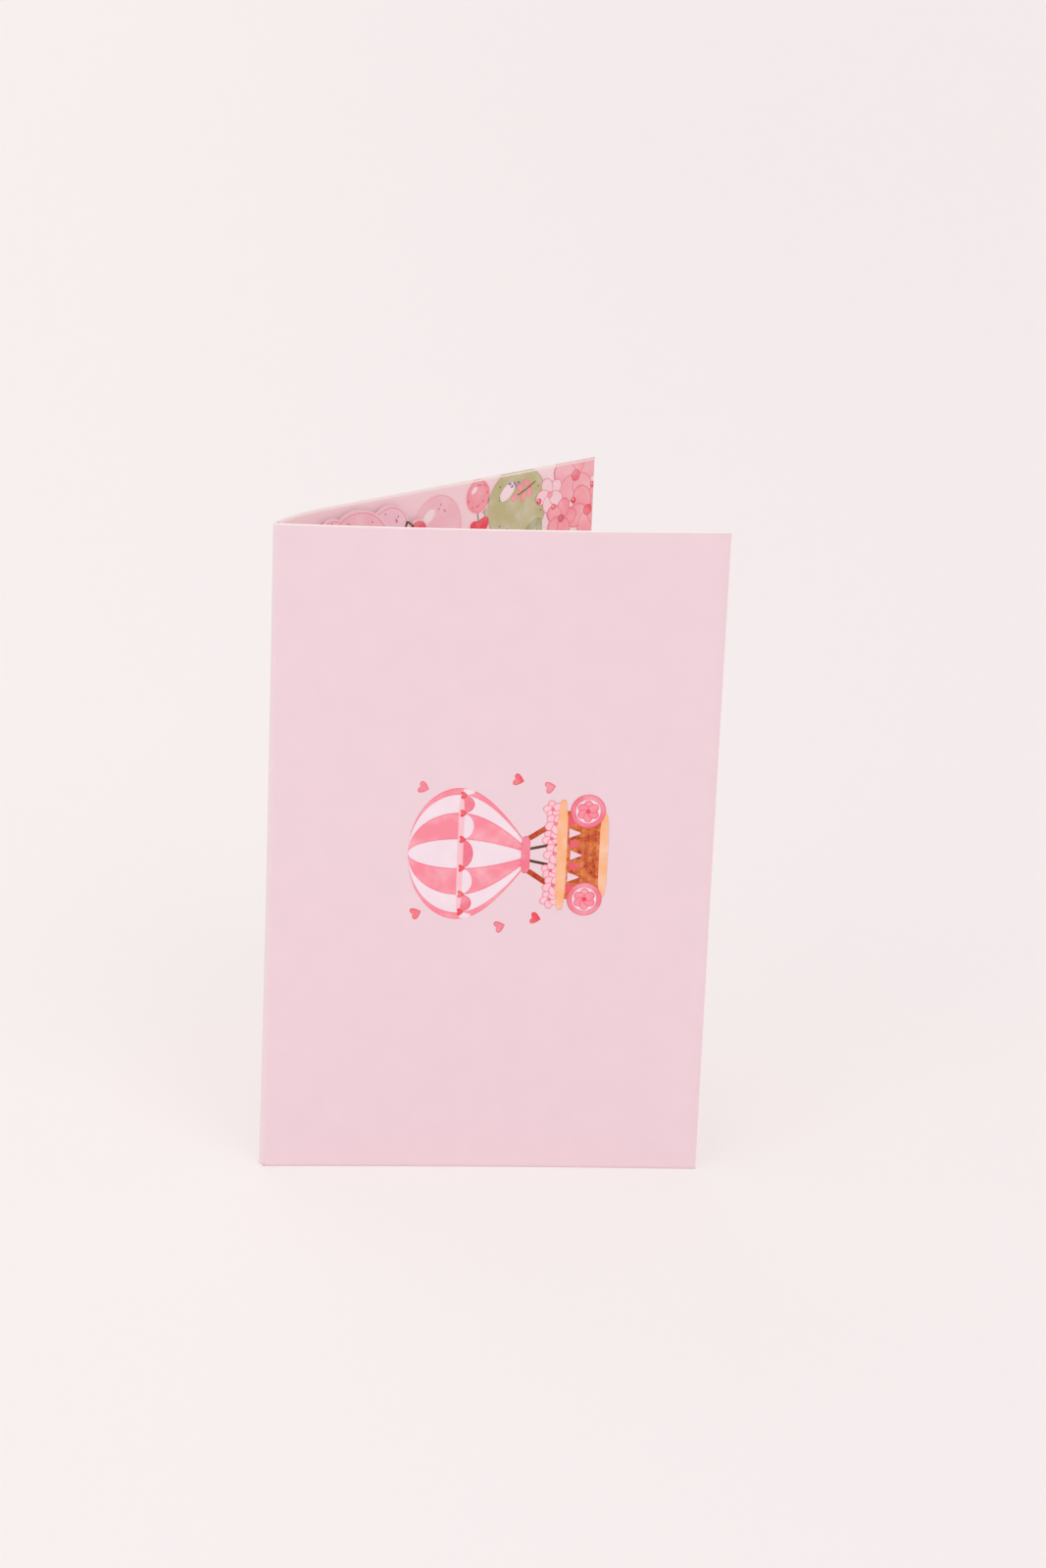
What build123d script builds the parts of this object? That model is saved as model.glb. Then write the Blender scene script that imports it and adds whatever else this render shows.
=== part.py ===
from build123d import *
from math import cos, radians, sin, tan
import os

# A greeting card that stands on its lower edges, opened like a book. Millimetres, +Z up.
# The front panel runs along +X and faces -Y; the fold is at its -X end. The back panel leaves the
# fold towards +X and +Y. In plan, every line is walked from the front panel's free edge round the
# fold to the back panel's free edge, with the inside of the card on the right hand.

# Card
panel_width = 120.0
panel_height = 180.0

# Cover: one sheet, creased once
cover_thickness = 0.6
cover_fold_radius = 1.1  # outside of the crease

# Inner sheet: glued to the inside of the cover, cut a little smaller, with a softer crease
sheet_thickness = 0.4
sheet_margin = 0.35
sheet_fold_radius = 1.8  # outside of its crease, which stands clear of the cover's

# How the card stands open, in degrees from the front panel's straight line between its two ends
opening_at_fold = 57.0
opening_far = 38.2
bend_from_fold = 15.0  # the back panel turns from the one to the other round this point,
bend_reach = 9.5  # over this distance on either side of it
front_bow = 2.4  # the front panel bellies outwards, turning this much over its width,
bow_clear_of_ends = 8.0  # but for a flat strip beside the fold and the free edge

# Raised motif: a bunch of balloons cut from one piece of card, with a berry on a short stem.
# Each round is (distance from the fold, distance below the top edge, radius).
motif_thickness = 0.4
balloons = [
    (23.9, 8.0, 5.2),
    (32.5, 13.7, 12.0),
    (43.6, 9.0, 7.0),
    (47.0, 22.0, 9.5),
    (28.5, 30.0, 9.5),
    (40.0, 33.0, 9.5),
]
berry = (53.8, 10.7, 3.3)
stem_root = (46.0, 8.2)
stem_width = 4.0
strings_left = (27.0, 36.0)
strings_right = (45.0, 38.0)
knot = (37.5, 55.5, 4.5)

# Foam pads between the inner sheet and the raised motif
pad_thickness = 1.2
pad_radius = 4.0
pad_places = [(32.5, 14.0), (47.5, 21.0), (29.5, 31.0), (40.5, 35.5)]

# Plan of the cover's outer face, as straight runs before its corners are rounded
headings = [180 + front_bow / 2, 180 - front_bow / 2, opening_at_fold, opening_far]
runs = [panel_width / 2, panel_width / 2, bend_from_fold, panel_width - bend_from_fold]
bow_radius = (panel_width / 2 - bow_clear_of_ends) / tan(radians(front_bow / 2))
bend_radius = bend_reach / tan(radians((opening_at_fold - opening_far) / 2))


def along(heading):
    """Unit vector in the plan that points along a heading."""
    return Vector(cos(radians(heading)), sin(radians(heading)))


def inward(heading):
    """Unit vector on the right hand of a heading, from the outer face into the card."""
    return Vector(sin(radians(heading)), -cos(radians(heading)))


# The corners of that plan, from the front panel's free edge, with the fold at the origin
corners = [Vector(panel_width * cos(radians(front_bow / 2)), 0)]
for heading, run in zip(headings, runs):
    corners.append(corners[-1] + along(heading) * run)
bend_corner = corners[3]


def face_line(depth, fold_radius, margin):
    """Plan of the face that lies `depth` inside the cover's outer face, short of both free edges
    by `margin`, with `fold_radius` round the fold."""
    points = [corners[0] + inward(headings[0]) * depth + along(headings[0]) * margin]
    for corner, before, after in zip(corners[1:-1], headings, headings[1:]):
        middle, half_turn = (before + after) / 2, (before - after) / 2
        points.append(corner + inward(middle) * (depth / cos(radians(half_turn))))
    points.append(corners[-1] + inward(headings[-1]) * depth - along(headings[-1]) * margin)
    return FilletPolyline(*points, radius=[bow_radius - depth, fold_radius, bend_radius - depth])


def folded_ply(depth, thickness, fold_radius, margin, height):
    """A folded sheet of paper: its outer face `depth` inside the cover's, standing on z = 0."""
    outer = face_line(depth, fold_radius, margin)
    inner = face_line(depth + thickness, fold_radius - thickness, margin)
    outline = [outer, Line(outer @ 1, inner @ 1), inner, Line(inner @ 0, outer @ 0)]
    return extrude(make_face(outline), height, dir=(0, 0, 1))


def on_back_panel(depth):
    """Plane parallel to the back panel's flat part, `depth` inside its outer face: x is the
    distance from the fold, y is the height, and z points into the card."""
    start = bend_corner - along(opening_far) * bend_from_fold
    return Plane(
        origin=start + inward(opening_far) * depth,
        x_dir=along(opening_far),
        z_dir=inward(opening_far),
    )


def disc(place, radius):
    """A round on the back panel, placed from the fold and the top edge."""
    return Pos(place[0], panel_height - place[1]) * Circle(radius)


cover = folded_ply(0, cover_thickness, cover_fold_radius, 0, panel_height)

inner_sheet = Pos(0, 0, sheet_margin) * folded_ply(
    cover_thickness,
    sheet_thickness,
    sheet_fold_radius,
    sheet_margin,
    panel_height - 2 * sheet_margin,
)

# The raised motif stands on its pads, and the pads on the inner sheet's face.
sheet_face = cover_thickness + sheet_thickness
motif_outline = Sketch() + [disc(balloon, balloon[2]) for balloon in [*balloons, knot, berry]]
motif_outline += make_face(
    Polyline(
        (strings_left[0], panel_height - strings_left[1]),
        (strings_right[0], panel_height - strings_right[1]),
        (knot[0] + knot[2], panel_height - knot[1]),
        (knot[0] - knot[2], panel_height - knot[1]),
        close=True,
    )
)
stem = Line(
    (stem_root[0], panel_height - stem_root[1]),
    (berry[0], panel_height - berry[1]),
)
motif_outline += trace(stem, stem_width)
raised_motif = extrude(on_back_panel(sheet_face + pad_thickness) * motif_outline, motif_thickness)

pads = [
    extrude(on_back_panel(sheet_face) * disc(place, pad_radius), pad_thickness)
    for place in pad_places
]

# The origin is on the floor, in the middle of the card's footprint.
footprint = cover.bounding_box()
to_origin = Pos(-footprint.center().X, -footprint.center().Y)

nodes = {"cover": cover, "inner_sheet": inner_sheet, "raised_motif": raised_motif}
for number, pad in enumerate(pads, start=1):
    nodes[f"foam_pad_{number}"] = pad

os.makedirs("parts", exist_ok=True)
for name, piece in nodes.items():
    export_step(to_origin * piece, f"parts/{name}.step")
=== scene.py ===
from bisect import bisect_right
from math import cos, pi, radians, sin, tan
from random import Random

import bmesh
import bpy
from mathutils import Matrix, Vector


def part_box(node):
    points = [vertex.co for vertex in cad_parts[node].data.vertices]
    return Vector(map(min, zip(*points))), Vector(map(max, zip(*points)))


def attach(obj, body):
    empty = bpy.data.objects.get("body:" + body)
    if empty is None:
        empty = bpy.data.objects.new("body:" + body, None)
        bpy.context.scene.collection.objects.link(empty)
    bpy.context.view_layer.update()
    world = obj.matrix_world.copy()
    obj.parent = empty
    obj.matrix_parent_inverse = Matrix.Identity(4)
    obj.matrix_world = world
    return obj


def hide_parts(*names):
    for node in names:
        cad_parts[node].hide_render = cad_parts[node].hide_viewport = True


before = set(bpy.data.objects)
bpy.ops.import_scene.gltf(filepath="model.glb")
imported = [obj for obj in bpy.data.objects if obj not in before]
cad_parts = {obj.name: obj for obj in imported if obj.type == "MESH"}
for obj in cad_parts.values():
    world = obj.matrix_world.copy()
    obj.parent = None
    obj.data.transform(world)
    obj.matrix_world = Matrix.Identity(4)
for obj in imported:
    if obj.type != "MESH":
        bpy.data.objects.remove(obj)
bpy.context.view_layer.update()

# ------------------------------------------------------------------------------------------------
# Cover. One sheet of smooth uncoated board, printed pale pink on both sides, so its guillotined
# edges show a white core. It was creased once and folded by hand, and it stands on its lower
# edges. The ink has cracked along the crease, and the crease's foot is a little crushed.
# ------------------------------------------------------------------------------------------------
MM = 0.001
cover_low, cover_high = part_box("cover")
panel_height = cover_high.z
panel_width = 120 * MM
cover_thickness = 0.6 * MM
cover_fold_radius = 1.1 * MM

# The way the card stands open, walked in plan from the front panel's free edge to the back one's
front_bow = 2.4
opening_at_fold = 57.0
opening_far = 38.2
bend_from_fold = 15 * MM
bend_reach = 9.5 * MM
bow_clear_of_ends = 8 * MM
headings = [180 + front_bow / 2, 180 - front_bow / 2, opening_at_fold, opening_far]
runs = [panel_width / 2, panel_width / 2, bend_from_fold, panel_width - bend_from_fold]
# How finely each straight run and each turn between two runs is divided
steps = {"run": [3, 4, 3, 44], "turn": [46, 12, 14]}

# Springy paper: the front panel bows out at its top and in at its foot, and both of its upright
# edges draw in a little at mid height
bow_in_plan = 0.71 * MM
bow_at_top = 1.95 * MM
bow_at_foot = -0.65 * MM
fold_waist = 0.25 * MM
free_edge_waist = 0.15 * MM
waist_reach = panel_width / 4

# The crushed foot of the crease flares out, in ripples
crushed_reach = 3.6 * MM
crushed_flare = 0.45 * MM
ripple_up = 0.5 * MM
ripple_along = 0.9 * MM


def along(heading):
    """Unit vector in plan along a heading in degrees."""
    return Vector((cos(radians(heading)), sin(radians(heading)), 0))


def inward(heading):
    """Unit vector in plan from the card's outer face to its inside."""
    return Vector((sin(radians(heading)), -cos(radians(heading)), 0))


def folded_line(depth, fold_radius, margin):
    """Plan of a face `depth` inside the cover's outer face: a list of (s, point, heading), where s
    is the distance from the fold, negative on the front panel."""
    corners = [Vector((panel_width * cos(radians(front_bow / 2)), 0, 0))]
    for heading, run in zip(headings, runs):
        corners.append(corners[-1] + along(heading) * run)
    points = [corners[0] + inward(headings[0]) * depth + along(headings[0]) * margin]
    for corner, before, after in zip(corners[1:-1], headings, headings[1:]):
        half_turn = radians((before - after) / 2)
        points.append(corner + inward((before + after) / 2) * (depth / cos(half_turn)))
    points.append(corners[-1] + inward(headings[-1]) * depth - along(headings[-1]) * margin)
    bow_radius = (panel_width / 2 - bow_clear_of_ends) / tan(radians(front_bow / 2))
    bend_radius = bend_reach / tan(radians((opening_at_fold - opening_far) / 2))
    radii = [bow_radius - depth, fold_radius, bend_radius - depth]

    line = [(points[0], headings[0])]

    def run_to(end, heading, count):
        start = line[-1][0]
        for step in range(1, count + 1):
            line.append((start.lerp(end, step / count), heading))

    for index, radius in enumerate(radii):
        before, after = headings[index], headings[index + 1]
        reach = radius * tan(radians((before - after) / 2))
        turn_start = points[index + 1] - along(before) * reach
        run_to(turn_start, before, steps["run"][index])
        centre = turn_start + inward(before) * radius
        count = steps["turn"][index]
        for step in range(1, count + 1):
            heading = before + (after - before) * step / count
            line.append((centre - inward(heading) * radius, heading))
    run_to(points[-1], headings[-1], steps["run"][-1])

    walked = [0.0]
    for (start, _), (end, _) in zip(line, line[1:]):
        walked.append(walked[-1] + (end - start).length)
    middle = sum(steps["run"][:2]) + steps["turn"][0] + steps["turn"][1] // 2
    stations = []
    for index, (point, heading) in enumerate(line):
        if index <= middle:
            s = walked[index] + margin - panel_width
        else:
            s = panel_width - margin - (walked[-1] - walked[index])
        stations.append((s, point, heading))
    return stations


to_row = Vector((cover_low.x - min(p.x for _, p, _ in folded_line(0, cover_fold_radius, 0)), 0, 0))
to_row.y = cover_low.y - min(p.y for _, p, _ in folded_line(0, cover_fold_radius, 0))


def settle(point, s, z):
    """Where the paper's spring and the crushed foot of the crease move a point of the plan."""
    rise = z / panel_height
    waist = 1 - (2 * rise - 1) ** 2
    place = point + to_row + Vector((0, 0, z))
    if s < 0:
        across = min(-s / panel_width, 1)
        bow = bow_at_foot + (bow_at_top - bow_at_foot) * rise - bow_in_plan
        place += Vector((0, -bow * (1 - (2 * across - 1) ** 2), 0))
        place.x -= free_edge_waist * waist * max(0, 2 * across - 1)
    place.x += fold_waist * waist * max(0, 1 - abs(s) / waist_reach)
    crush = max(0, 1 - Vector((s, z * 0.8)).length / crushed_reach) ** 2
    ripple = 0.75 + 0.25 * sin(z / ripple_up + s / ripple_along)
    place.x -= crushed_flare * crush * ripple
    return place


def place_on(line, s, z, depth):
    """The point `depth` inside a folded face, at distance s from the fold and height z."""
    found = bisect_right([station[0] for station in line], s)
    found = min(max(found, 1), len(line) - 1)
    (s0, start, before), (s1, end, after) = line[found - 1], line[found]
    share = (s - s0) / (s1 - s0) if s1 > s0 else 0
    heading = before + (after - before) * min(max(share, 0), 1)
    return settle(start.lerp(end, share) + inward(heading) * depth, s, z)


def new_piece(name, builder, materials):
    """A finished bmesh as an object, at the origin."""
    mesh = bpy.data.meshes.new(name)
    builder.to_mesh(mesh)
    builder.free()
    for material in materials:
        mesh.materials.append(material)
    piece = bpy.data.objects.new(name, mesh)
    bpy.context.scene.collection.objects.link(piece)
    return piece


def folded_ply(name, line, thickness, foot, top, eased, materials):
    """A closed sheet between a folded face and its other side. Its slots are the outer print, the
    white cut edges and the inner print. The blade leaves the edges eased, most of all at the foot
    that they stand on, and chips the ink off them."""
    worn, worn_at_foot = thickness * 0.16, thickness * 0.4
    rows_up = 66
    heights = [foot, foot + eased, foot + 4 * eased]
    heights += [foot + (top - foot) * step / rows_up for step in range(1, rows_up)]
    heights += [top - 4 * eased, top - eased, top]

    stations = list(line)
    for end, step in ((0, 1), (-1, -1)):
        s, point, heading = stations[end]
        inner = (s + step * eased, point + along(heading) * eased * step, heading)
        stations.insert(1 if end == 0 else len(stations) - 1, inner)

    mesh_builder = bmesh.new()
    uv_map = mesh_builder.loops.layers.uv.new("sheet")
    rows = {}
    for side in (0, 1):
        for i, (s, point, heading) in enumerate(stations):
            for j, z in enumerate(heights):
                edge = i in (0, len(stations) - 1) or j in (0, len(heights) - 1)
                turned_in = (worn_at_foot if j == 0 else worn) if edge else 0
                depth = side * thickness + (1 - 2 * side) * turned_in
                place = settle(point + inward(heading) * depth, s, z)
                rows[side, i, j] = mesh_builder.verts.new(place)

    def face(corners, slot):
        made = mesh_builder.faces.new([rows[corner] for corner in corners])
        made.material_index = slot
        made.smooth = slot != 1
        for loop, (_, i, j) in zip(made.loops, corners):
            loop[uv_map].uv = (stations[i][0], heights[j])

    last_i, last_j = len(stations) - 1, len(heights) - 1
    for i in range(last_i):
        for j in range(last_j):
            rim = i in (0, last_i - 1) or j == last_j - 1
            outer = [(0, i, j), (0, i, j + 1), (0, i + 1, j + 1), (0, i + 1, j)]
            face(outer, 1 if rim else 0)
            face([(1, a, b) for _, a, b in reversed(outer)], 1 if rim else 2)
        face([(0, i, 0), (0, i + 1, 0), (1, i + 1, 0), (1, i, 0)], 1)
        face([(0, i, last_j), (1, i, last_j), (1, i + 1, last_j), (0, i + 1, last_j)], 1)
    for j in range(last_j):
        face([(0, 0, j), (1, 0, j), (1, 0, j + 1), (0, 0, j + 1)], 1)
        face([(0, last_i, j), (0, last_i, j + 1), (1, last_i, j + 1), (1, last_i, j)], 1)
    bmesh.ops.recalc_face_normals(mesh_builder, faces=mesh_builder.faces)
    return new_piece(name, mesh_builder, materials)


def linear(hex_colour):
    """An sRGB hex colour as linear red, green, blue and alpha."""
    values = [int(hex_colour[i : i + 2], 16) / 255 for i in (1, 3, 5)]
    return [v / 12.92 if v <= 0.04045 else ((v + 0.055) / 1.055) ** 2.4 for v in values] + [1]


def add(tree, kind, inputs=None, **settings):
    """Adds a node with its settings, its values and the links into it."""
    node = tree.nodes.new(kind)
    for name, value in settings.items():
        setattr(node, name, value)
    for socket, value in (inputs or {}).items():
        if isinstance(value, bpy.types.NodeSocket):
            tree.links.new(value, node.inputs[socket])
        else:
            node.inputs[socket].default_value = value
    return node


def new_material(name):
    """A material with an empty node tree and its Principled shader."""
    material = bpy.data.materials.new(name)
    material.use_nodes = True
    material.node_tree.nodes.clear()
    shader = add(material.node_tree, "ShaderNodeBsdfPrincipled")
    output = add(material.node_tree, "ShaderNodeOutputMaterial")
    material.node_tree.links.new(shader.outputs["BSDF"], output.inputs["Surface"])
    return material, material.node_tree, shader


def paper_tooth(tree, vector, shader, depth):
    """Pressed paper fibre: a shallow felt of short fibres. The real ones are about 0.05 mm wide,
    and are drawn 0.35 mm wide, so that they show."""
    fibre = add(tree, "ShaderNodeTexNoise", {"Vector": vector, "Scale": 1 / (0.35 * MM),
                                             "Detail": 3.0, "Roughness": 0.6})
    bump = add(tree, "ShaderNodeBump", {"Height": fibre.outputs["Fac"], "Strength": 0.25,
                                        "Distance": depth})
    tree.links.new(bump.outputs["Normal"], shader.inputs["Normal"])
    roughness = add(tree, "ShaderNodeMapRange", {"Value": fibre.outputs["Fac"], "From Min": 0.3,
                                                 "From Max": 0.7, "To Min": 0.6, "To Max": 0.72})
    tree.links.new(roughness.outputs["Result"], shader.inputs["Roughness"])


def printed_board(name, ground, rubbed, core):
    """Uncoated board with a flat tint of ink: matt and very even, with a faint cloudiness from the
    felt. The ink is rubbed pale along the crease, and the white core is bare at its crushed foot,
    ringed by a thin dark line of painted shade where the foot creases."""
    material, tree, shader = new_material(name)
    uv = add(tree, "ShaderNodeUVMap", uv_map="sheet").outputs["UV"]
    place = add(tree, "ShaderNodeSeparateXYZ", {"Vector": uv})
    cloud = add(tree, "ShaderNodeTexNoise", {"Vector": uv, "Scale": 1 / (9 * MM), "Detail": 4.0})
    paler = [min(1, c * 1.025) for c in linear(ground)[:3]] + [1]
    deeper = [c * 0.975 for c in linear(ground)[:3]] + [1]
    tint = add(tree, "ShaderNodeMix", {"Factor": cloud.outputs["Fac"], "A": deeper, "B": paler},
               data_type="RGBA")
    paper_tooth(tree, uv, shader, 0.02 * MM)

    off_fold = add(tree, "ShaderNodeMath", {0: place.outputs["X"]}, operation="ABSOLUTE")
    by_fold = add(tree, "ShaderNodeMapRange", {"Value": off_fold.outputs["Value"],
                  "From Min": 0.9 * MM, "From Max": 2.6 * MM, "To Min": 0.62, "To Max": 0.0})
    crackle = add(tree, "ShaderNodeTexNoise", {"Vector": uv, "Scale": 1 / (0.8 * MM),
                                               "Detail": 5.0, "Roughness": 0.7})
    bare = add(tree, "ShaderNodeMath", {0: by_fold.outputs["Result"],
                                        1: crackle.outputs["Fac"]}, operation="ADD")
    cracked = add(tree, "ShaderNodeMapRange", {"Value": bare.outputs["Value"], "From Min": 0.7,
                                               "From Max": 1.15, "To Max": 0.75})
    creased = add(tree, "ShaderNodeMix", {"Factor": cracked.outputs["Result"],
                  "A": tint.outputs["Result"], "B": linear(rubbed)}, data_type="RGBA")

    flattened = add(tree, "ShaderNodeVectorMath", {0: uv, 1: (0.5, 1, 1)}, operation="MULTIPLY")
    from_foot = add(tree, "ShaderNodeVectorMath", {0: flattened.outputs["Vector"]},
                    operation="LENGTH")
    crushed = add(tree, "ShaderNodeMapRange", {"Value": from_foot.outputs["Value"],
                  "From Min": 0.95 * MM, "From Max": 1.1 * MM, "To Min": 1.0, "To Max": 0.0})
    # Painted shade: a thin dark ring round the bare core, where the crushed foot creases
    painted_crease_shade = add(tree, "ShaderNodeMapRange", {"Value": from_foot.outputs["Value"],
                "From Min": 1.1 * MM, "From Max": 1.4 * MM, "To Min": 0.4, "To Max": 0.0})
    shaded = add(tree, "ShaderNodeMix", {"Factor": painted_crease_shade.outputs["Result"],
                 "A": creased.outputs["Result"], "B": linear("#A78F8E")}, data_type="RGBA")
    colour = add(tree, "ShaderNodeMix", {"Factor": crushed.outputs["Result"],
                 "A": shaded.outputs["Result"], "B": linear(core)}, data_type="RGBA")
    tree.links.new(colour.outputs["Result"], shader.inputs["Base Color"])
    return material


def cut_edge(name, core):
    """The cut edge of board: matt pulp, a little uneven where its layers show."""
    material, tree, shader = new_material(name)
    place = add(tree, "ShaderNodeTexCoord").outputs["Object"]
    pulp = add(tree, "ShaderNodeTexNoise", {"Vector": place, "Scale": 1 / (0.5 * MM),
                                            "Detail": 3.0})
    shade = add(tree, "ShaderNodeMix", {"Factor": pulp.outputs["Fac"], "B": linear(core),
                "A": [c * 0.93 for c in linear(core)[:3]] + [1]}, data_type="RGBA")
    tree.links.new(shade.outputs["Result"], shader.inputs["Base Color"])
    shader.inputs["Roughness"].default_value = 0.8
    return material


pink_board = printed_board("uncoated board, pale pink ink", "#F0D4DC", "#F1E4E3", "#FFF6F1")
white_core = cut_edge("guillotined board edge", "#FFF4EE")
inside_ground = printed_board("uncoated paper, inner pink ink", "#FFDFE5", "#FAE4E6", "#FFF6F1")

cover_line = folded_line(0, cover_fold_radius, 0)
cover = folded_ply("folded_cover", cover_line, cover_thickness, 0, panel_height, 0.24 * MM,
                   [pink_board, white_core, inside_ground])
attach(cover, "root")
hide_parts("cover")

# ------------------------------------------------------------------------------------------------
# Inner sheet. A lighter printed paper, trimmed a hair smaller than the cover, folded with a softer
# crease and glued flat to the inside of both panels.
# ------------------------------------------------------------------------------------------------
sheet_thickness = 0.4 * MM
sheet_margin = 0.35 * MM
sheet_fold_radius = 1.8 * MM
sheet_line = folded_line(cover_thickness, sheet_fold_radius, sheet_margin)
sheet_eased = 0.3 * MM
sheet = folded_ply("folded_inner_sheet", sheet_line, sheet_thickness, sheet_margin,
                   panel_height - sheet_margin, sheet_eased,
                   [white_core, white_core, inside_ground])
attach(sheet, "root")
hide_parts("inner_sheet")

# ------------------------------------------------------------------------------------------------
# Front print. A small hot-air balloon, printed as soft washes of ink that pool at their rims. It
# is turned on its side, because the card is held with its fold at the top.
# ------------------------------------------------------------------------------------------------
ink_film = 0.008 * MM  # one wash over another
dab_corners = 28


def dab_tree():
    """Geometry nodes that stamp one oval dab of ink on each point: its size, turn, ink and grain
    are the point's attributes, and rim grows from 0 at the dab's middle to 1 at its outline."""
    tree = bpy.data.node_groups.new("ink dabs", "GeometryNodeTree")
    tree.interface.new_socket("Points", in_out="INPUT", socket_type="NodeSocketGeometry")
    corners = tree.interface.new_socket("Corners", in_out="INPUT", socket_type="NodeSocketInt")
    corners.default_value = dab_corners
    tree.interface.new_socket("Ink", in_out="INPUT", socket_type="NodeSocketMaterial")
    tree.interface.new_socket("Dabs", in_out="OUTPUT", socket_type="NodeSocketGeometry")
    given = add(tree, "NodeGroupInput")
    stamp = add(tree, "GeometryNodeMeshCircle", {"Vertices": given.outputs["Corners"],
                "Radius": 1.0}, fill_type="TRIANGLE_FAN")
    position = add(tree, "GeometryNodeInputPosition")
    from_middle = add(tree, "ShaderNodeVectorMath", {0: position.outputs["Position"]},
                      operation="LENGTH")
    rimmed = add(tree, "GeometryNodeStoreNamedAttribute", {"Geometry": stamp.outputs["Mesh"],
                 "Name": "rim", "Value": from_middle.outputs["Value"]}, data_type="FLOAT")
    size = add(tree, "GeometryNodeInputNamedAttribute", {"Name": "size"},
               data_type="FLOAT_VECTOR")
    turn = add(tree, "GeometryNodeInputNamedAttribute", {"Name": "turn"}, data_type="FLOAT")
    about_z = add(tree, "ShaderNodeCombineXYZ", {"Z": turn.outputs["Attribute"]})
    stamped = add(tree, "GeometryNodeInstanceOnPoints", {"Points": given.outputs["Points"],
                  "Instance": rimmed.outputs["Geometry"], "Scale": size.outputs["Attribute"],
                  "Rotation": about_z.outputs["Vector"]})
    real = add(tree, "GeometryNodeRealizeInstances", {"Geometry": stamped.outputs["Instances"]})
    inked = add(tree, "GeometryNodeSetMaterial", {"Geometry": real.outputs["Geometry"],
                                                  "Material": given.outputs["Ink"]})
    add(tree, "NodeGroupOutput", {"Dabs": inked.outputs["Geometry"]})
    return tree


def watercolour_ink(name):
    """Printed watercolour: each field has its own ink, which pools darker at the rim, washes out
    in soft patches a few millimetres wide, and is mottled where its grain says so."""
    material, tree, shader = new_material(name)
    place = add(tree, "ShaderNodeTexCoord").outputs["Object"]
    ink = add(tree, "ShaderNodeAttribute", attribute_name="ink").outputs["Color"]
    rim = add(tree, "ShaderNodeAttribute", attribute_name="rim").outputs["Fac"]
    size = add(tree, "ShaderNodeAttribute", attribute_name="size").outputs["Vector"]
    half_width = add(tree, "ShaderNodeSeparateXYZ", {"Vector": size}).outputs["X"]
    grain = add(tree, "ShaderNodeAttribute", attribute_name="grain").outputs["Fac"]
    patches = add(tree, "ShaderNodeTexNoise", {"Vector": place, "Scale": 1 / (5 * MM),
                                               "Detail": 3.0})
    clear = add(tree, "ShaderNodeMath", {0: 1.0, 1: grain}, operation="SUBTRACT")
    washed = add(tree, "ShaderNodeMapRange", {"Value": patches.outputs["Fac"], "From Min": 0.42,
                                              "From Max": 0.72, "To Max": 0.42})
    diluted = add(tree, "ShaderNodeMath", {0: washed.outputs["Result"],
                                           1: clear.outputs["Value"]}, operation="MULTIPLY")
    thin = add(tree, "ShaderNodeMix", {"Factor": 0.65, "A": ink, "B": linear("#FFF4F6")},
               data_type="RGBA")
    pale = add(tree, "ShaderNodeMix", {"Factor": diluted.outputs["Value"], "A": ink,
                                       "B": thin.outputs["Result"]}, data_type="RGBA")
    deep = add(tree, "ShaderNodeMix", {"Factor": 0.85, "A": ink, "B": ink}, data_type="RGBA",
               blend_type="MULTIPLY")
    off_rim = add(tree, "ShaderNodeMath", {0: 1.0, 1: rim}, operation="SUBTRACT")
    inset = add(tree, "ShaderNodeMath", {0: off_rim.outputs["Value"], 1: half_width},
                operation="MULTIPLY")
    pooled = add(tree, "ShaderNodeMapRange", {"Value": inset.outputs["Value"], "From Min": 0.0,
                 "From Max": 0.4 * MM, "To Min": 0.75, "To Max": 0.0})
    edged = add(tree, "ShaderNodeMix", {"Factor": pooled.outputs["Result"],
                "A": pale.outputs["Result"], "B": deep.outputs["Result"]}, data_type="RGBA")
    specks = add(tree, "ShaderNodeTexNoise", {"Vector": place, "Scale": 1 / (0.7 * MM),
                                              "Detail": 4.0, "Roughness": 0.75})
    stains = add(tree, "ShaderNodeTexNoise", {"Vector": place, "Scale": 1 / (3.5 * MM),
                                              "Detail": 2.0})
    blotted = add(tree, "ShaderNodeMath", {0: specks.outputs["Fac"], 1: stains.outputs["Fac"]},
                  operation="ADD")
    dark = add(tree, "ShaderNodeMapRange", {"Value": blotted.outputs["Value"], "From Min": 0.85,
                                            "From Max": 1.2})
    mottle = add(tree, "ShaderNodeMath", {0: dark.outputs["Result"], 1: grain},
                 operation="MULTIPLY")
    burnt = add(tree, "ShaderNodeMix", {"Factor": 1.0, "A": deep.outputs["Result"], "B": ink},
                data_type="RGBA", blend_type="MULTIPLY")
    colour = add(tree, "ShaderNodeMix", {"Factor": mottle.outputs["Value"],
                 "A": edged.outputs["Result"], "B": burnt.outputs["Result"]}, data_type="RGBA")
    tree.links.new(colour.outputs["Result"], shader.inputs["Base Color"])
    paper_tooth(tree, place, shader, 0.02 * MM)
    return material


ink_dabs = dab_tree()
print_ink = watercolour_ink("offset print, watercolour inks on uncoated board")


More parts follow.
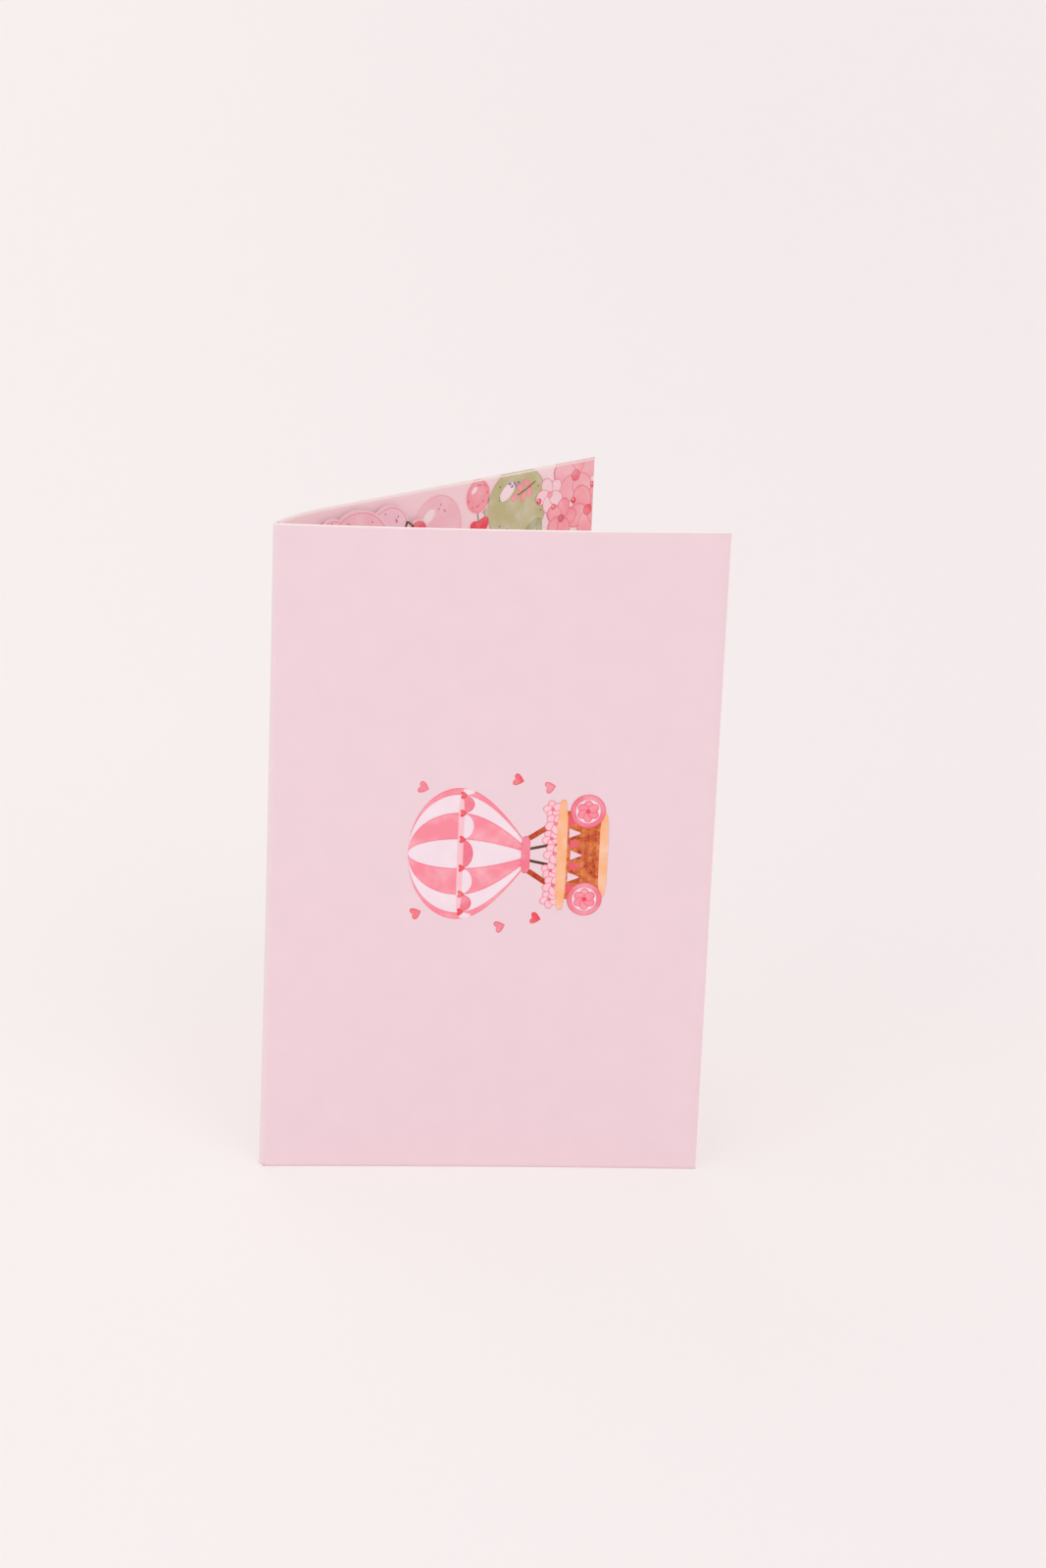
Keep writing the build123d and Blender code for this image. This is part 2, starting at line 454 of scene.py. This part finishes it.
class Artwork:
    """A flat print in millimetres, drawn from the lowest wash to the highest."""

    def __init__(self):
        self.dabs = []
        self.fields = []
        self.shapes = []

    def dab(self, x, y, across, up, ink, level, turn=0.0, grain=0.0):
        """An oval field of one ink: its half width and half height, turned by degrees."""
        self.dabs.append((x, y, across, up, ink, level, radians(turn), grain))

    def shape(self, x, y, outline, ink, level, grain=0.0):
        """A field with any outline that its middle can see: points about (x, y)."""
        self.shapes.append((x, y, outline, ink, level, grain))

    def strip(self, left, right, ink, level, grain=0.0):
        """A field between two rows of points, such as a board, a gore or a leaf."""
        self.fields.append((left, right, ink, level, grain))

    def board(self, x, y, across, up, ink, level, turn=0.0, grain=0.0, taper=0.0):
        """A bar with softly rounded ends, `taper` narrower at its lower end."""
        left, right = [], []
        count = 10
        for step in range(count + 1):
            share = step / count
            height = (share - 0.5) * up
            near_end = min(share, 1 - share) * up
            round_off = max(0, 1 - near_end / min(0.8, across / 2)) ** 2 * 0.35
            half = (across / 2) * (1 - round_off) - taper * (1 - share)
            for side, row in ((-1, left), (1, right)):
                spun = Vector((side * half, height)) @ turned(-turn)
                row.append((x + spun.x, y + spun.y))
        self.strip(left, right, ink, level, grain)

    def line(self, points, width, ink, level, grain=0.0):
        """A drawn line of even width along a curve."""
        left, right = [], []
        for index, (x, y) in enumerate(points):
            ahead = Vector(points[min(index + 1, len(points) - 1)])
            behind = Vector(points[max(index - 1, 0)])
            side = (ahead - behind).normalized().orthogonal() * width / 2
            left.append((x + side.x, y + side.y))
            right.append((x - side.x, y - side.y))
        self.strip(left, right, ink, level, grain)


def turned(degrees):
    """The matrix that turns a flat vector."""
    return Matrix.Rotation(radians(degrees), 2)


def inked_mesh(art):
    """The artwork as one flat bmesh in metres: x and y on the sheet, z the height of the ink."""
    points = bpy.data.meshes.new("dab points")
    points.from_pydata([(x * MM, y * MM, level * ink_film) for x, y, _, _, _, level, _, _
                        in art.dabs], [], [])
    for attribute, kind in (("size", "FLOAT_VECTOR"), ("turn", "FLOAT"),
                            ("ink", "FLOAT_COLOR"), ("grain", "FLOAT")):
        points.attributes.new(attribute, kind, "POINT")
    given = points.attributes
    for index, (_, _, across, up, colour, _, angle, mottled) in enumerate(art.dabs):
        given["size"].data[index].vector = (across * MM, up * MM, 1)
        given["turn"].data[index].value = angle
        given["ink"].data[index].color = linear(colour)
        given["grain"].data[index].value = mottled
    holder = bpy.data.objects.new("dab points", points)
    bpy.context.scene.collection.objects.link(holder)
    modifier = holder.modifiers.new("dabs", "NODES")
    modifier.node_group = ink_dabs
    sockets = {item.name: item.identifier for item in ink_dabs.interface.items_tree
               if item.in_out == "INPUT"}
    modifier[sockets["Corners"]] = dab_corners
    modifier[sockets["Ink"]] = print_ink
    evaluated = holder.evaluated_get(bpy.context.evaluated_depsgraph_get())
    stamped = bpy.data.meshes.new_from_object(evaluated)
    bpy.data.objects.remove(holder)
    flat = bmesh.new()
    flat.from_mesh(stamped)
    bpy.data.meshes.remove(stamped)
    bpy.data.meshes.remove(points)

    ink = flat.verts.layers.float_color["ink"]
    rim = flat.verts.layers.float["rim"]
    size = flat.verts.layers.float_vector["size"]
    grain = flat.verts.layers.float["grain"]
    across = (0, 0.12, 0.5, 0.88, 1)
    for left, right, colour, level, mottled in art.fields:
        rows = []
        for index, (start, end) in enumerate(zip(left, right)):
            at_end = index in (0, len(left) - 1)
            row = []
            for share in across:
                flat_place = Vector(start).lerp(Vector(end), share) * MM
                vertex = flat.verts.new((flat_place.x, flat_place.y, level * ink_film))
                vertex[ink] = linear(colour)
                vertex[rim] = 1.0 if at_end else abs(2 * share - 1)
                vertex[size] = Vector(((Vector(end) - Vector(start)).length / 2 * MM, 0, 0))
                vertex[grain] = mottled
                row.append(vertex)
            rows.append(row)
        for low_row, high_row in zip(rows, rows[1:]):
            for corner in range(len(across) - 1):
                flat.faces.new((low_row[corner], low_row[corner + 1], high_row[corner + 1],
                                high_row[corner]))
    for x, y, outline, colour, level, mottled in art.shapes:
        rings = []
        for reach in (0, 0.84, 1):
            ring = []
            for point_x, point_y in outline if reach else outline[:1]:
                vertex = flat.verts.new(((x + point_x * reach) * MM, (y + point_y * reach) * MM,
                                         level * ink_film))
                vertex[ink] = linear(colour)
                vertex[rim] = reach
                vertex[size] = Vector((Vector((point_x, point_y)).length * MM, 0, 0))
                vertex[grain] = mottled
                ring.append(vertex)
            rings.append(ring)
        for k in range(len(outline)):
            after = (k + 1) % len(outline)
            flat.faces.new((rings[0][0], rings[1][k], rings[1][after]))
            flat.faces.new((rings[1][k], rings[2][k], rings[2][after], rings[1][after]))
    bmesh.ops.dissolve_degenerate(flat, dist=1e-7, edges=flat.edges[:])
    flat.normal_update()
    down = [face for face in flat.faces if face.normal.z < 0]
    bmesh.ops.reverse_faces(flat, faces=down)
    return flat


def cut(flat, axis, at, keep=0):
    """Cuts the flat print along one line: keep 1 clears what lies below it, -1 what lies above."""
    normal = Vector((1, 0, 0)) if axis == 0 else Vector((0, 1, 0))
    bmesh.ops.bisect_plane(flat, geom=flat.verts[:] + flat.edges[:] + flat.faces[:],
                           dist=1e-7, plane_co=normal * at, plane_no=normal,
                           clear_inner=keep == 1, clear_outer=keep == -1)


def lay_print(name, flat, on_surface, every=5 * MM):
    """Lays a flat print on a surface of the card, cut every few millimetres so that it follows
    the paper's curve."""
    for axis in (0, 1):
        places = [vertex.co[axis] for vertex in flat.verts]
        line = min(places) + every
        while line < max(places):
            cut(flat, axis, line)
            line += every
    for vertex in flat.verts:
        vertex.co = on_surface(*vertex.co)
    for face in flat.faces:
        face.material_index = 0
    piece = new_piece(name, flat, [print_ink])
    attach(piece, "root")


# Inks
rose, blush, coral, salmon = "#FA8C9E", "#F6E0E9", "#FC9DA8", "#FBA3AB"
deep_rose, red, wicker, tan_wood = "#F4788E", "#F2485A", "#DE7A38", "#FCB682"
umber, sage, leaf, violet = "#7C4322", "#C4BF8C", "#99946A", "#A88BC4"


def envelope_half(y, mouth, half_width, shoulder, top):
    """Half width of a balloon's envelope at a height over its mouth."""
    if y > shoulder:
        return half_width * max(0, 1 - ((y - shoulder) / (top - shoulder)) ** 2) ** 0.5
    return mouth + (half_width - mouth) * sin(pi / 2 * y / shoulder) ** 0.95


def striped_envelope(art, x, y, half_width, top, gores, level):
    """A balloon's envelope in upright gores, by turns rose and blush, narrow at the sides."""
    mouth, shoulder, rows = half_width * 0.24, top * 0.56, 26
    for gore in range(gores):
        edges = []
        for border in (gore, gore + 1):
            swing = sin(radians(-90 + 180 * border / gores))
            edge = []
            for row in range(rows + 1):
                height = top * sin(pi / 2 * row / rows) if row else 0
                half = envelope_half(height, mouth, half_width, shoulder, top)
                edge.append((x + half * swing, y + height))
            edges.append(edge)
        art.strip(edges[0], edges[1], rose if gore % 2 == 0 else blush, level)


def blossom(art, x, y, size, petal_ink, heart_ink, level, petals=5, turn=0.0):
    """A round flower: a ring of petals about a small heart, each with a fine contour."""
    contour = 0.13
    for petal in range(petals):
        angle = turn + 360 * petal / petals
        for grown, ink, above in ((contour, "#EE8FA0", 0), (0, petal_ink, 0.25)):
            art.dab(x + 0.52 * size * cos(radians(angle)), y + 0.52 * size * sin(radians(angle)),
                    0.5 * size + grown, 0.4 * size + grown, ink, level + 0.5 * petal + above,
                    angle)
    art.dab(x, y, 0.2 * size, 0.2 * size, heart_ink, level + 0.5 * petals)


def heart(art, x, y, size, ink, level, turn=0.0):
    """A small heart, its tip down before it is turned."""
    outline = []
    for k in range(24):
        t = 2 * pi * k / 24
        point = Vector((sin(t) ** 3, (13 * cos(t) - 5 * cos(2 * t) - 2 * cos(3 * t)) / 16))
        outline.append(tuple((point * size) @ turned(-turn)))
    art.shape(x, y, outline, ink, level)


# The balloon, drawn upright: envelope, swags of cloth round its widest part, ropes, basket
front = Artwork()
gores, girth = 7, 18.3
striped_envelope(front, 0, -4.0, 18.5, 30.5, gores, 1)
for fold in range(gores):
    west, east = (girth * sin(radians(-90 + 180 * (fold + step) / gores)) for step in (0, 1))
    half = (east - west) / 2
    hem = [(half * cos(pi * k / 14), -3.1 * sin(pi * k / 14)) for k in range(15)]
    front.shape((west + east) / 2, 11.4, [(x, y + 0.9) for x, y in hem],
                blush if fold % 2 == 0 else deep_rose, 3)
front.board(0, 12.6, 36.0, 1.5, "#FBC3CC", 4)
for fold in range(1, gores):
    heart(front, girth * sin(radians(-90 + 180 * fold / gores)), 12.2, 1.05, red, 5)
front.board(0, -4.8, 10.5, 2.4, deep_rose, 3)
for side in (-1, 1):
    front.line([(side * 4.6, -5.6), (side * 10.2, -14.0)], 1.5, wicker, 1, grain=0.9)
    front.line([(side * 1.6, -5.6), (side * 3.4, -14.0)], 0.8, umber, 1)
draws = Random(11)
for index, x in enumerate((-12.6, -8.6, -4.4, 0.4, 4.6, 8.8, 12.8)):
    blossom(front, x, -11.6 - 0.9 * (index % 2), 2.5 + 0.4 * (index % 2), "#FDC6D1",
            deep_rose, 2 + 3 * (index % 2), 5, draws.uniform(0, 72))
front.board(0, -19.6, 25.5, 12.0, wicker, 6, grain=1.0, taper=1.6)
for row in range(5):
    for column in range(9 - row % 2):
        front.dab((column - (8 - row % 2) / 2) * 2.5, -24.2 + row * 2.1, 1.1, 0.7, "#E58A48",
                  7 + 0.1 * row, grain=0.8)
for flag in range(7):
    x = (flag - 3) * 3.1
    sag = 1.3 * (1 - (x / 10) ** 2)
    front.strip([(x - 1.35, -15.4 - sag), (x - 0.15, -18.4 - sag)],
                [(x + 1.35, -15.4 - sag), (x + 0.15, -18.4 - sag)],
                blush if flag % 2 else deep_rose, 9)
front.board(0, -14.4, 31.0, 2.7, tan_wood, 11)
front.board(0, -25.6, 23.5, 2.3, tan_wood, 11)
for side in (-1, 1):
    front.dab(side * 12.4, -21.0, 4.7, 4.7, deep_rose, 12)
    front.dab(side * 12.4, -21.0, 3.3, 3.3, blush, 13)
    blossom(front, side * 12.4, -21.0, 2.9, rose, red, 14, 6)
for x, y, ink, turn in ((-20.5, 1.5, deep_rose, 20), (21.0, -2.0, red, -15),
                        (-18.0, -8.0, red, -12), (18.5, 23.0, deep_rose, -18),
                        (-17.0, 24.0, red, 22), (19.0, -10.5, deep_rose, 14)):
    heart(front, x, y, 1.7, ink, 1, turn)
print_centre = Vector((64.8 * MM, 90.7 * MM))


def on_front_panel(x, y, height):
    """The balloon's own x and y, turned so that its top is towards the fold."""
    return place_on(cover_line, -(print_centre.x - y), print_centre.y + x, -height)


lay_print("front_print", inked_mesh(front), on_front_panel)

# ------------------------------------------------------------------------------------------------
# Inner print. Party balloons, blossoms and berry sprigs in the same inks, along the head and the
# foot of both leaves. It runs off the trimmed sheet, so the cover's inner face has its outermost
# edge, where a hair of it shows beyond the sheet.
# ------------------------------------------------------------------------------------------------


def party_balloon(art, x, y, across, up, ink, level, seed, string=0.0):
    """A round balloon with a pale rim, a highlight, a few dark flecks and a string."""
    draws = Random(seed)
    if string:
        art.line([(x + 0.5 * sin(step / 2), y - up - string * step / 6) for step in range(7)],
                 0.35, leaf, level)
    art.dab(x, y, across + 0.35, up + 0.35, "#FDDFE2", level)
    art.dab(x, y, across, up, ink, level + 1)
    art.dab(x - 0.35 * across, y + 0.4 * up, 0.3 * across, 0.16 * up, "#FDEBEE", level + 2, 40)
    for _ in range(9):
        angle, reach = draws.uniform(0, 2 * pi), draws.uniform(0.55, 0.85)
        art.dab(x + across * reach * cos(angle), y + up * reach * sin(angle), 0.34, 0.2,
                "#D5858F" if ink != sage else "#8B8757", level + 2, draws.uniform(0, 180))


def berry_sprig(art, x, y, reach, turn, ink, level):
    """A thin stem with a berry at its tip and a pair at each joint."""
    tip = Vector((reach, 0)) @ turned(-turn)
    art.line([(x, y), (x + tip.x * 0.5, y + tip.y * 0.55), (x + tip.x, y + tip.y)], 0.4, "#B5705A",
             level)
    for share, off in ((1.05, 0), (0.7, 1), (0.7, -1), (0.38, 1), (0.38, -1)):
        place = Vector((reach * share, off * 1.5)) @ turned(-turn)
        art.dab(x + place.x, y + place.y, 1.35, 0.95, ink, level + 1, turn + off * 55)


def leaf_pair(art, x, y, size, turn, level):
    """Two narrow leaves that spread from one point."""
    for side in (-1, 1):
        spread = turn + side * 32
        art.dab(x + 0.9 * size * cos(radians(spread)), y + 0.9 * size * sin(radians(spread)),
                size, 0.36 * size, "#A9AE78", level + (side > 0), spread)


def garland(art, facing, head):
    """The band of print along one edge of a leaf. facing is the sign of s on that leaf, and head
    is the sheet's upper edge or, upside down, its lower one."""
    edge = panel_height / MM if head else 0
    down = -1 if head else 1

    def at(s, drop):
        return facing * s, edge + down * drop

    long_string = 7 if head else 0
    berry_sprig(art, *at(12, 4.5), 7.0, -60 if head else 60, salmon, 3)
    blossom(art, *at(21.5, 10.5), 6.5, "#FCD3DA", salmon, 4, 5, 8)
    party_balloon(art, *at(35, 8.5), 4.4, 5.0, rose, 3, 5, long_string)
    party_balloon(art, *at(62, 11.5), 8.6, 9.2, "#F9C6CF", 1, 4, long_string)
    party_balloon(art, *at(76.5, 4.8), 4.2, 4.6, coral, 4, 1, long_string)
    leaf_pair(art, *at(81, 11.5), 2.6, 160 if facing > 0 else 20, 3)
    party_balloon(art, *at(91, 9.5), 11.0, 11.0, sage, 5, 2, 0)
    heart(art, *at(77.5, 13.5), 3.4, red, 9, 12)
    berry_sprig(art, *at(97.5, 3.5), 8.0, 205 if facing > 0 else -25, coral, 9)
    for index in range(5):
        art.dab(*at(88 + index * 0.8, 3.0 + (index % 2) * 0.8), 0.5, 0.35, violet, 9.5, 40 * index)
    leaf_pair(art, *at(99.5, 14.5), 3.0, -120, 8)
    blossom(art, *at(112.5, 4.0), 8.2, "#FBB1BA", "#F2707F", 10, 5, 20)
    blossom(art, *at(103.0, 8.2), 5.0, "#FDD9DE", salmon, 14, 5, 44)
    blossom(art, *at(117.5, 14.5), 8.0, salmon, red, 14, 5, 50)
    blossom(art, *at(107.5, 15.5), 5.6, coral, "#D9606E", 17.5, 5, 5)
    for index, (s, drop) in enumerate(((99, 9.5), (112, 11), (104.5, 11.8), (119, 7.5))):
        art.dab(*at(s, drop), 0.85, 0.85, red, 21, 0)
        art.dab(*at(s - 0.25, drop - 0.25), 0.28, 0.28, "#FDDFE2", 22)


def inner_artwork():
    """The whole inner print, drawn afresh for each surface that carries it."""
    art = Artwork()
    for facing in (-1, 1):
        for head in (True, False):
            garland(art, facing, head)
    return inked_mesh(art)


sheet_top = panel_height - sheet_margin
sheet_side = panel_width - sheet_margin
on_sheet = inner_artwork()
for axis, at, keep in ((0, sheet_eased - sheet_side, 1), (0, sheet_side - sheet_eased, -1),
                       (1, sheet_margin + sheet_eased, 1), (1, sheet_top - sheet_eased, -1)):
    cut(on_sheet, axis, at, keep)
lay_print("inner_print", on_sheet,
          lambda s, z, height: place_on(sheet_line, s, z, sheet_thickness + height))

bleed_inset = 0.12 * MM
for name, axis, at, keep in (("head", 1, sheet_top, 1), ("foot", 1, sheet_margin, -1),
                             ("front", 0, -sheet_side, -1), ("back", 0, sheet_side, 1)):
    strip = inner_artwork()
    for edge_axis, edge, side in ((0, -panel_width, 1), (0, panel_width, -1), (1, 0, 1),
                                  (1, panel_height, -1)):
        cut(strip, edge_axis, edge + side * bleed_inset, side)
    cut(strip, axis, at, keep)
    lay_print(f"bleed_{name}", strip,
              lambda s, z, height: place_on(cover_line, s, z, cover_thickness + height / 2))

# ------------------------------------------------------------------------------------------------
# Foam pads. Dots of closed-cell foam tape, white and matt, pressed between the inner sheet and the
# raised motif, so that their sides bulge a little.
# ------------------------------------------------------------------------------------------------


def foam_tape(name):
    """Closed-cell foam: matt white with cells about 0.3 mm wide."""
    material, tree, shader = new_material(name)
    place = add(tree, "ShaderNodeTexCoord").outputs["Object"]
    cells = add(tree, "ShaderNodeTexVoronoi", {"Vector": place, "Scale": 1 / (0.3 * MM)})
    bump = add(tree, "ShaderNodeBump", {"Height": cells.outputs["Distance"], "Strength": 0.5,
                                        "Distance": 0.05 * MM})
    tree.links.new(bump.outputs["Normal"], shader.inputs["Normal"])
    # Painted shade: each cell is darker in its hollow and lighter at its rim
    shade = add(tree, "ShaderNodeMix", {"Factor": cells.outputs["Distance"],
                "A": linear("#E9E4DE"), "B": linear("#FAF7F2")}, data_type="RGBA")
    tree.links.new(shade.outputs["Result"], shader.inputs["Base Color"])
    shader.inputs["Roughness"].default_value = 0.85
    return material


foam = foam_tape("closed-cell foam tape, white")
back_x, back_in = along(opening_far), inward(opening_far)
pad_radius, pad_thickness, pad_bulge = 4 * MM, 1.2 * MM, 0.25 * MM
for number in range(1, 5):
    low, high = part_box(f"foam_pad_{number}")
    centre = (low + high) / 2
    pad_builder = bmesh.new()
    rings = []
    for step in range(7):
        share = step / 6
        radius = pad_radius - pad_bulge * (2 * share - 1) ** 2
        offset = centre + back_in * pad_thickness * (share - 0.5)
        rings.append([pad_builder.verts.new(offset + radius * (
            back_x * cos(2 * pi * k / 40) + Vector((0, 0, 1)) * sin(2 * pi * k / 40)))
            for k in range(40)])
    for lower, upper in zip(rings, rings[1:]):
        for k in range(40):
            pad_builder.faces.new((lower[k], lower[(k + 1) % 40], upper[(k + 1) % 40], upper[k]))
    pad_builder.faces.new(rings[0])
    pad_builder.faces.new(rings[-1])
    bmesh.ops.recalc_face_normals(pad_builder, faces=pad_builder.faces)
    pad = new_piece(f"foam_dot_{number}", pad_builder, [foam])
    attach(pad, "root")
    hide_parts(f"foam_pad_{number}")

# ------------------------------------------------------------------------------------------------
# Raised motif. A bunch of balloons die-cut from printed card, with a narrow pale border round the
# print. The die has dragged some pink ink over its edge. The cut piece is the CAD node itself, and
# its print is laid on its face.
# ------------------------------------------------------------------------------------------------
pale_card = cut_edge("die-cut card, pink-smeared edge", "#FFD6DA")
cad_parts["raised_motif"].data.materials.clear()
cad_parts["raised_motif"].data.materials.append(pale_card)

motif_thickness = 0.4 * MM
motif_face = cover_thickness + sheet_thickness + pad_thickness + motif_thickness
flat_s, flat_place, _ = cover_line[-1]


def on_raised_motif(x, y, height):
    """A place on the raised motif's face, from the fold and up from the foot of the card."""
    return (flat_place + to_row + back_x * (x - flat_s) + back_in * (motif_face + height)
            + Vector((0, 0, y)))


raised = Artwork()
top = panel_height / MM
rounds = [(28.5, 30.0, 9.5, coral), (47.0, 22.0, 9.5, "#F9CAD3"), (40.0, 33.0, 9.5, rose),
          (23.9, 8.0, 5.2, "#FAC3CD"), (43.6, 9.0, 7.0, "#F8CDDA"), (32.5, 13.7, 12.0, "#F9C2CE")]
for order, (x, drop, radius, ink) in enumerate(rounds):
    level = 2 + 4 * order
    for inset, ring_ink in ((0.12, "#FCDEE3"), (0.6, "#F2A3B2"), (0.75, ink)):
        raised.dab(x, top - drop, radius - inset, radius - inset, ring_ink, level)
        level += 1
    flecks = Random(order)
    for _ in range(8):
        angle, reach = flecks.uniform(0.1 * pi, 0.9 * pi), radius * flecks.uniform(0.45, 0.82)
        raised.dab(x + reach * cos(angle), top - drop + reach * sin(angle), 0.36, 0.2, "#D98496",
                   level, flecks.uniform(0, 180))
for x in (30, 35, 40, 44):
    raised.line([(x, top - 38), (37.5 + (x - 37) * 0.2, top - 54)], 0.4, umber, 1)
stem_ink = "#5A3A34"
raised.line([(49.4, top - 7.5), (50.3, top - 7.7), (51.3, top - 8.4), (52.0, top - 9.3)], 0.5,
            stem_ink, 27)
raised.dab(49.5, top - 8.1, 0.9, 0.38, stem_ink, 27, 65)
raised.dab(53.8, top - 10.7, 2.85, 2.85, "#EE6276", 27)
for side in (-1, 1):
    raised.dab(37.5 + side * 1.9, top - 55.3, 1.9, 1.3, red, 3, side * 20)
raised.dab(37.5, top - 55.6, 0.9, 0.9, deep_rose, 4)
lay_print("raised_print", inked_mesh(raised), on_raised_motif)

# ------------------------------------------------------------------------------------------------
# Setting. A seamless sweep of pale matt paper, broad soft daylight from three large softboxes, and
# the camera, in front of the card and a little above it.
# ------------------------------------------------------------------------------------------------


def sweep(name, colour, near_lamp, far_side, evenness):
    """Matt paper, evened out for the eye by `evenness` between its lamp side and its far side, so
    that it stays pale from edge to edge and keeps a soft shadow."""
    material, tree, shader = new_material(name)
    shader.inputs["Base Color"].default_value = linear(colour)
    shader.inputs["Roughness"].default_value = 0.9
    place = add(tree, "ShaderNodeTexCoord").outputs["Object"]
    across = add(tree, "ShaderNodeSeparateXYZ", {"Vector": place}).outputs["X"]
    aside = add(tree, "ShaderNodeMapRange", {"Value": across, "From Min": -0.25, "From Max": 0.25},
                interpolation_type="SMOOTHSTEP")
    # Painted light: a share `evenness` of what the camera sees is a glow, a little lighter on the
    # lamp side than on the far side
    shown = add(tree, "ShaderNodeMix", {"Factor": aside.outputs["Result"],
                "A": linear(near_lamp), "B": linear(far_side)}, data_type="RGBA")
    glow = add(tree, "ShaderNodeEmission", {"Color": shown.outputs["Result"]})
    seen = add(tree, "ShaderNodeLightPath")
    mirrored = add(tree, "ShaderNodeMath", {0: seen.outputs["Is Camera Ray"],
                   1: seen.outputs["Is Glossy Ray"]}, operation="MAXIMUM")
    direct = add(tree, "ShaderNodeMath", {0: mirrored.outputs["Value"],
                 1: seen.outputs["Is Transmission Ray"]}, operation="MAXIMUM")
    share = add(tree, "ShaderNodeMath", {0: direct.outputs["Value"], 1: evenness},
                operation="MULTIPLY")
    evened = add(tree, "ShaderNodeMixShader", {"Fac": share.outputs["Value"],
                 1: shader.outputs["BSDF"], 2: glow.outputs["Emission"]})
    output = next(node for node in tree.nodes if node.type == "OUTPUT_MATERIAL")
    tree.links.new(evened.outputs["Shader"], output.inputs["Surface"])
    return material


builder = bmesh.new()
profile = [(-6.0, 0.0), (1.6, 0.0)]
profile += [(1.6 + 1.2 * sin(radians(a)), 1.2 - 1.2 * cos(radians(a))) for a in range(10, 91, 10)]
profile += [(2.8, 5.0)]
rows = [[builder.verts.new((x, y, z)) for x in (-5, 5)] for y, z in profile]
for near, far in zip(rows, rows[1:]):
    builder.faces.new((near[0], near[1], far[1], far[0])).smooth = True
paper = sweep("matt paper sweep", "#FBF4F4", "#FCF4F3", "#F7EFEF", 0.62)
backdrop = new_piece("sweep", builder, [paper])

world = bpy.data.worlds.new("soft daylight")
bpy.context.scene.world = world
world.use_nodes = True
sky = world.node_tree
sky.nodes.clear()
daylight = add(sky, "ShaderNodeBackground", {"Color": (1, 1, 1, 1), "Strength": 0.68})
beyond = add(sky, "ShaderNodeBackground", {"Color": linear("#F5ECEB"), "Strength": 1.0})
looked_at = add(sky, "ShaderNodeLightPath")
either = add(sky, "ShaderNodeMixShader", {"Fac": looked_at.outputs["Is Camera Ray"],
             1: daylight.outputs["Background"], 2: beyond.outputs["Background"]})
add(sky, "ShaderNodeOutputWorld", {"Surface": either.outputs["Shader"]})


def softbox(name, place, aim, width, power):
    """A large square softbox that points at the card."""
    lamp = bpy.data.lights.new(name, "AREA")
    lamp.size = width
    lamp.energy = power
    box = bpy.data.objects.new(name, lamp)
    box.location = place
    box.rotation_euler = (Vector(aim) - Vector(place)).to_track_quat("-Z", "Y").to_euler()
    bpy.context.scene.collection.objects.link(box)


softbox("key softbox", (-2.6, -3.2, 1.9), (0, 0.3, 0.1), 2.8, 33)
softbox("fill softbox", (1.3, -3.2, 3.5), (0, 0.3, 0.1), 2.8, 43)
softbox("back softbox", (-0.8, 2.0, 2.4), (0, 0, 0.1), 1.8, 6)

camera_data = bpy.data.cameras.new("camera")
camera_data.sensor_fit = "VERTICAL"
camera_data.sensor_height = 36
camera_data.sensor_width = 24
camera_data.lens = 98.1
camera_data.clip_end = 50
camera = bpy.data.objects.new("camera", camera_data)
camera_place = (-0.08589, -1.10396, 0.46711)
heading, pitch, roll = radians(5.02), radians(18.45), radians(2.40)
forward = Vector((sin(heading) * cos(pitch), cos(heading) * cos(pitch), -sin(pitch)))
level_up = Vector((sin(heading) * sin(pitch), cos(heading) * sin(pitch), cos(pitch)))
level_right = Vector((cos(heading), -sin(heading), 0))
right = cos(roll) * level_right + sin(roll) * level_up
up = -sin(roll) * level_right + cos(roll) * level_up
turn = Matrix((right, up, -forward)).transposed().to_4x4()
camera.matrix_world = Matrix.Translation(camera_place) @ turn
bpy.context.scene.collection.objects.link(camera)
bpy.context.scene.camera = camera
bpy.context.scene.view_settings.view_transform = "Standard"
